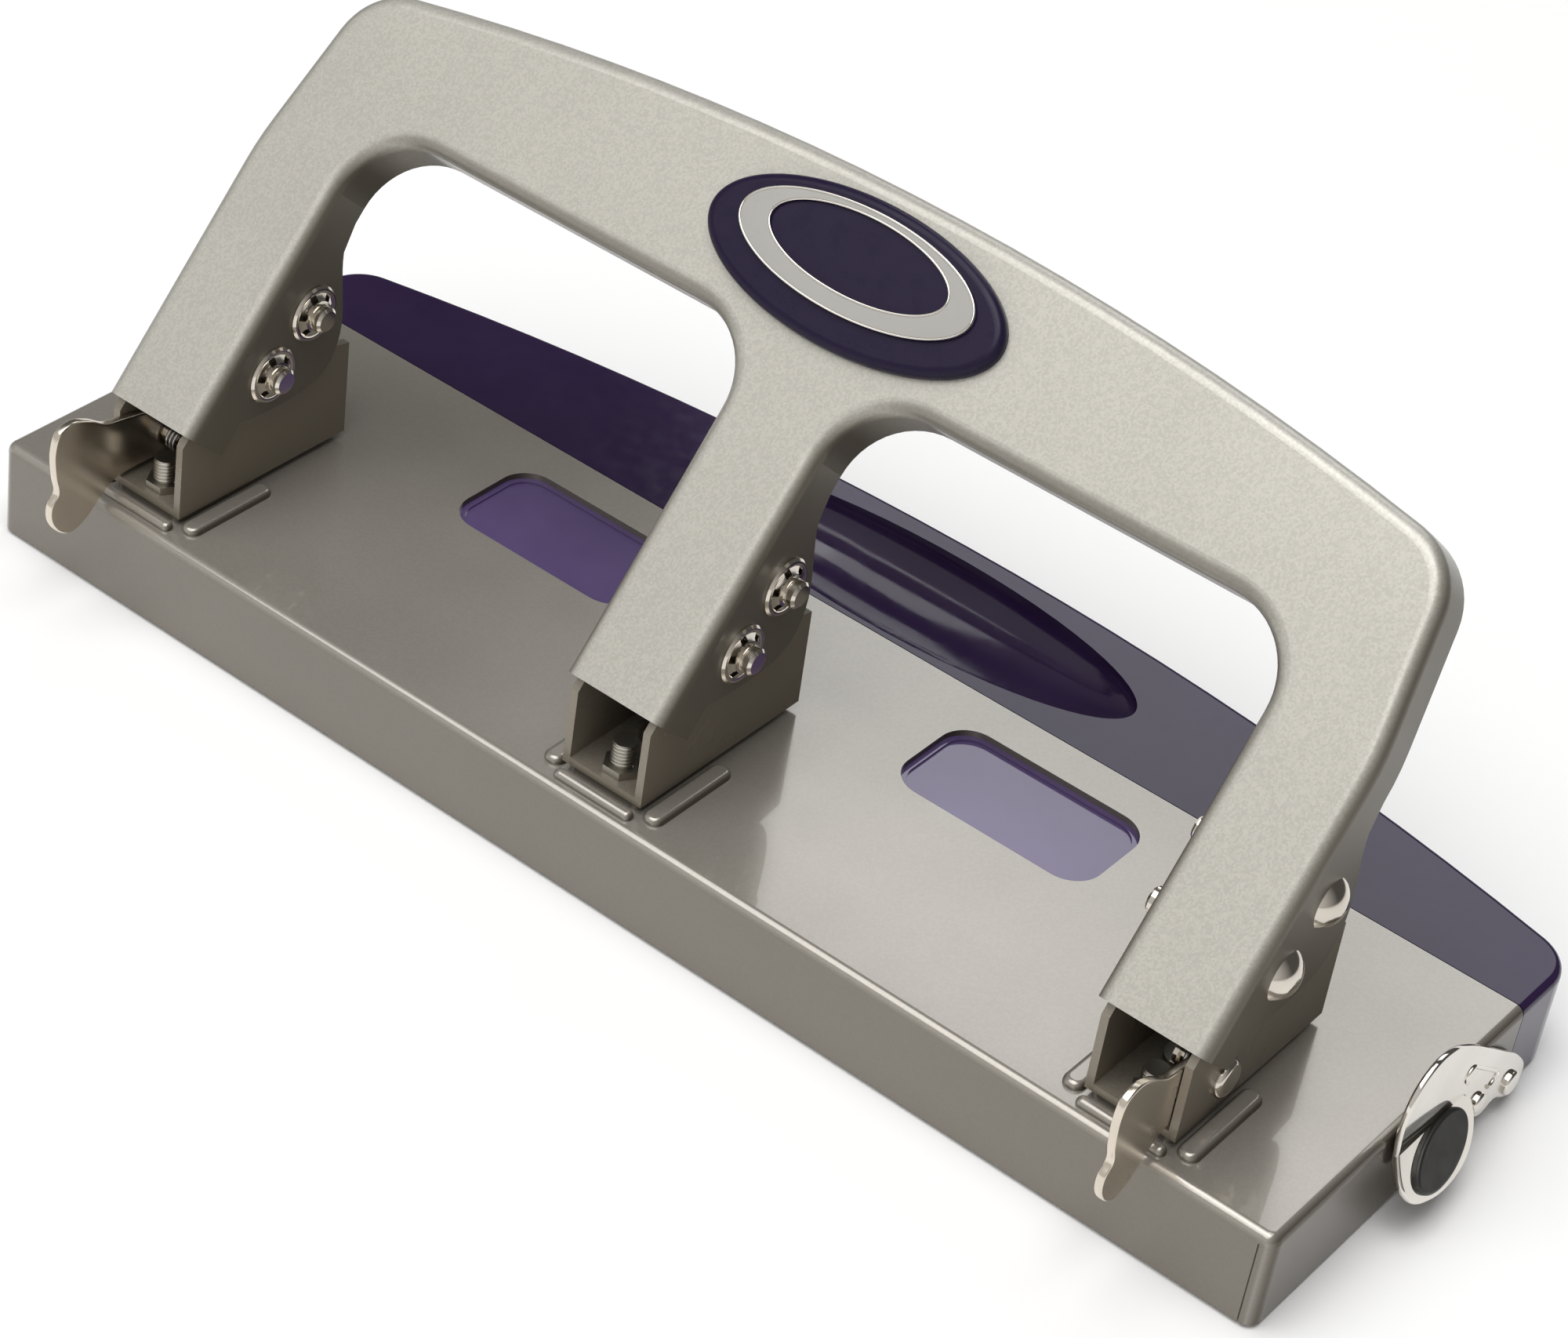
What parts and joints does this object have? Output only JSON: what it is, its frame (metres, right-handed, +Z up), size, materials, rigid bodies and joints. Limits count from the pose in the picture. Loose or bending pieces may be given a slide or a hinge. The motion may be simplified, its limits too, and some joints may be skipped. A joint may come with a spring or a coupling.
{
  "type": "three-hole desk paper punch",
  "caption": "Steel desk punch that makes a row of holes in loose sheets with one wide press handle, with hold-down levers, a slide-out end guide and a chip drawer",
  "frame": {"origin": "on the desk, under the middle of the steel base", "axes": "+X along the punch, +Y towards the side the paper comes in from, +Z up"},
  "size_m": [0.2856, 0.1233, 0.1112],
  "materials": {
    "silver_paint": "gloss",
    "handle_paint": "satin",
    "zinc_steel": "satin",
    "nickel_steel": "polished",
    "tool_steel": "polished",
    "spring_steel": "polished",
    "lever_nickel": "polished",
    "chrome": "mirror",
    "indigo_plastic": "gloss",
    "bright_ring": "polished",
    "violet_window": "gloss",
    "black_rubber": "matt",
    "dark_pad": "satin"
  },
  "bodies": {
    "base": {"base_cover": "silver_paint", "base_floor": "zinc_steel", "rubber_base_pad": "black_rubber", "floor_posts": "zinc_steel", "floor_screws": "zinc_steel", "head_studs": "zinc_steel", "head_nuts": "zinc_steel", "head_rivets": "zinc_steel", "head_housing_left": "nickel_steel", "guide_bridge_left": "nickel_steel", "die_left": "tool_steel", "head_housing_middle": "nickel_steel", "guide_bridge_middle": "nickel_steel", "die_middle": "tool_steel", "head_housing_right": "nickel_steel", "guide_bridge_right": "nickel_steel", "die_right": "tool_steel", "lock_spring_left": "spring_steel", "window_left": "violet_window", "lock_spring_right": "spring_steel", "window_right": "violet_window", "lock_rivets": "nickel_steel", "paper_guide_clip": "zinc_steel", "clip_rivets": "zinc_steel"},
    "handle": {"handle": "handle_paint", "badge_base": "indigo_plastic", "badge_ring": "bright_ring", "badge_centre": "indigo_plastic", "pivot_push_nuts": "spring_steel", "drive_push_nuts": "spring_steel", "pivot_pin_left": "nickel_steel", "drive_pin_left": "nickel_steel", "pivot_pin_middle": "nickel_steel", "drive_pin_middle": "nickel_steel", "pivot_pin_right": "nickel_steel", "drive_pin_right": "nickel_steel"},
    "chip_drawer": {"chip_drawer": "indigo_plastic"},
    "paper_guide": {"paper_guide": "chrome", "guide_rivets": "chrome", "guide_thumb_pad": "dark_pad"},
    "lock_left": {"lock_lever_left": "lever_nickel"},
    "lock_right": {"lock_lever_right": "lever_nickel"},
    "punch_left": {"punch_pin_left": "tool_steel", "spring_collar_left": "spring_steel", "punch_spring_left": "spring_steel"},
    "punch_middle": {"punch_pin_middle": "tool_steel", "spring_collar_middle": "spring_steel", "punch_spring_middle": "spring_steel"},
    "punch_right": {"punch_pin_right": "tool_steel", "spring_collar_right": "spring_steel", "punch_spring_right": "spring_steel"}
  },
  "joints": [
    {"name": "handle_press", "type": "hinge", "parent": "base", "child": "handle", "pos_m": [0, -0.01285, 0.0446], "axis": [-1, 0, 0], "range_deg": [0, 35], "stiffness_Nm_per_rad": 1.5, "springref_deg": -20.05},
    {"name": "punch_left_slide", "type": "slide", "parent": "base", "child": "punch_left", "axis": [0, 0, -1], "range_m": [0, 0.00723], "deforming": ["punch_spring_left"]},
    {"name": "punch_middle_slide", "type": "slide", "parent": "base", "child": "punch_middle", "axis": [0, 0, -1], "range_m": [0, 0.00723], "deforming": ["punch_spring_middle"]},
    {"name": "punch_right_slide", "type": "slide", "parent": "base", "child": "punch_right", "axis": [0, 0, -1], "range_m": [0, 0.00723], "deforming": ["punch_spring_right"]},
    {"name": "lock_left_tilt", "type": "hinge", "parent": "base", "child": "lock_left", "pos_m": [-0.11415, -0.02085, 0.0273], "axis": [-1, 0, 0], "range_deg": [0, 8], "stiffness_Nm_per_rad": 0.05, "springref_deg": -11.46},
    {"name": "lock_right_tilt", "type": "hinge", "parent": "base", "child": "lock_right", "pos_m": [0.11415, -0.02085, 0.0273], "axis": [-1, 0, 0], "range_deg": [0, 8], "stiffness_Nm_per_rad": 0.05, "springref_deg": -11.46},
    {"name": "drawer_slide", "type": "slide", "parent": "base", "child": "chip_drawer", "axis": [0, 1, 0], "range_m": [0, 0.06]},
    {"name": "guide_slide", "type": "slide", "parent": "base", "child": "paper_guide", "axis": [1, 0, 0], "range_m": [0, 0.025]}
  ],
  "couplings": [
    {"joint": "punch_left_slide", "follows": "handle_press", "m_per_rad": 0.011836},
    {"joint": "punch_middle_slide", "follows": "handle_press", "m_per_rad": 0.011836},
    {"joint": "punch_right_slide", "follows": "handle_press", "m_per_rad": 0.011836}
  ]
}
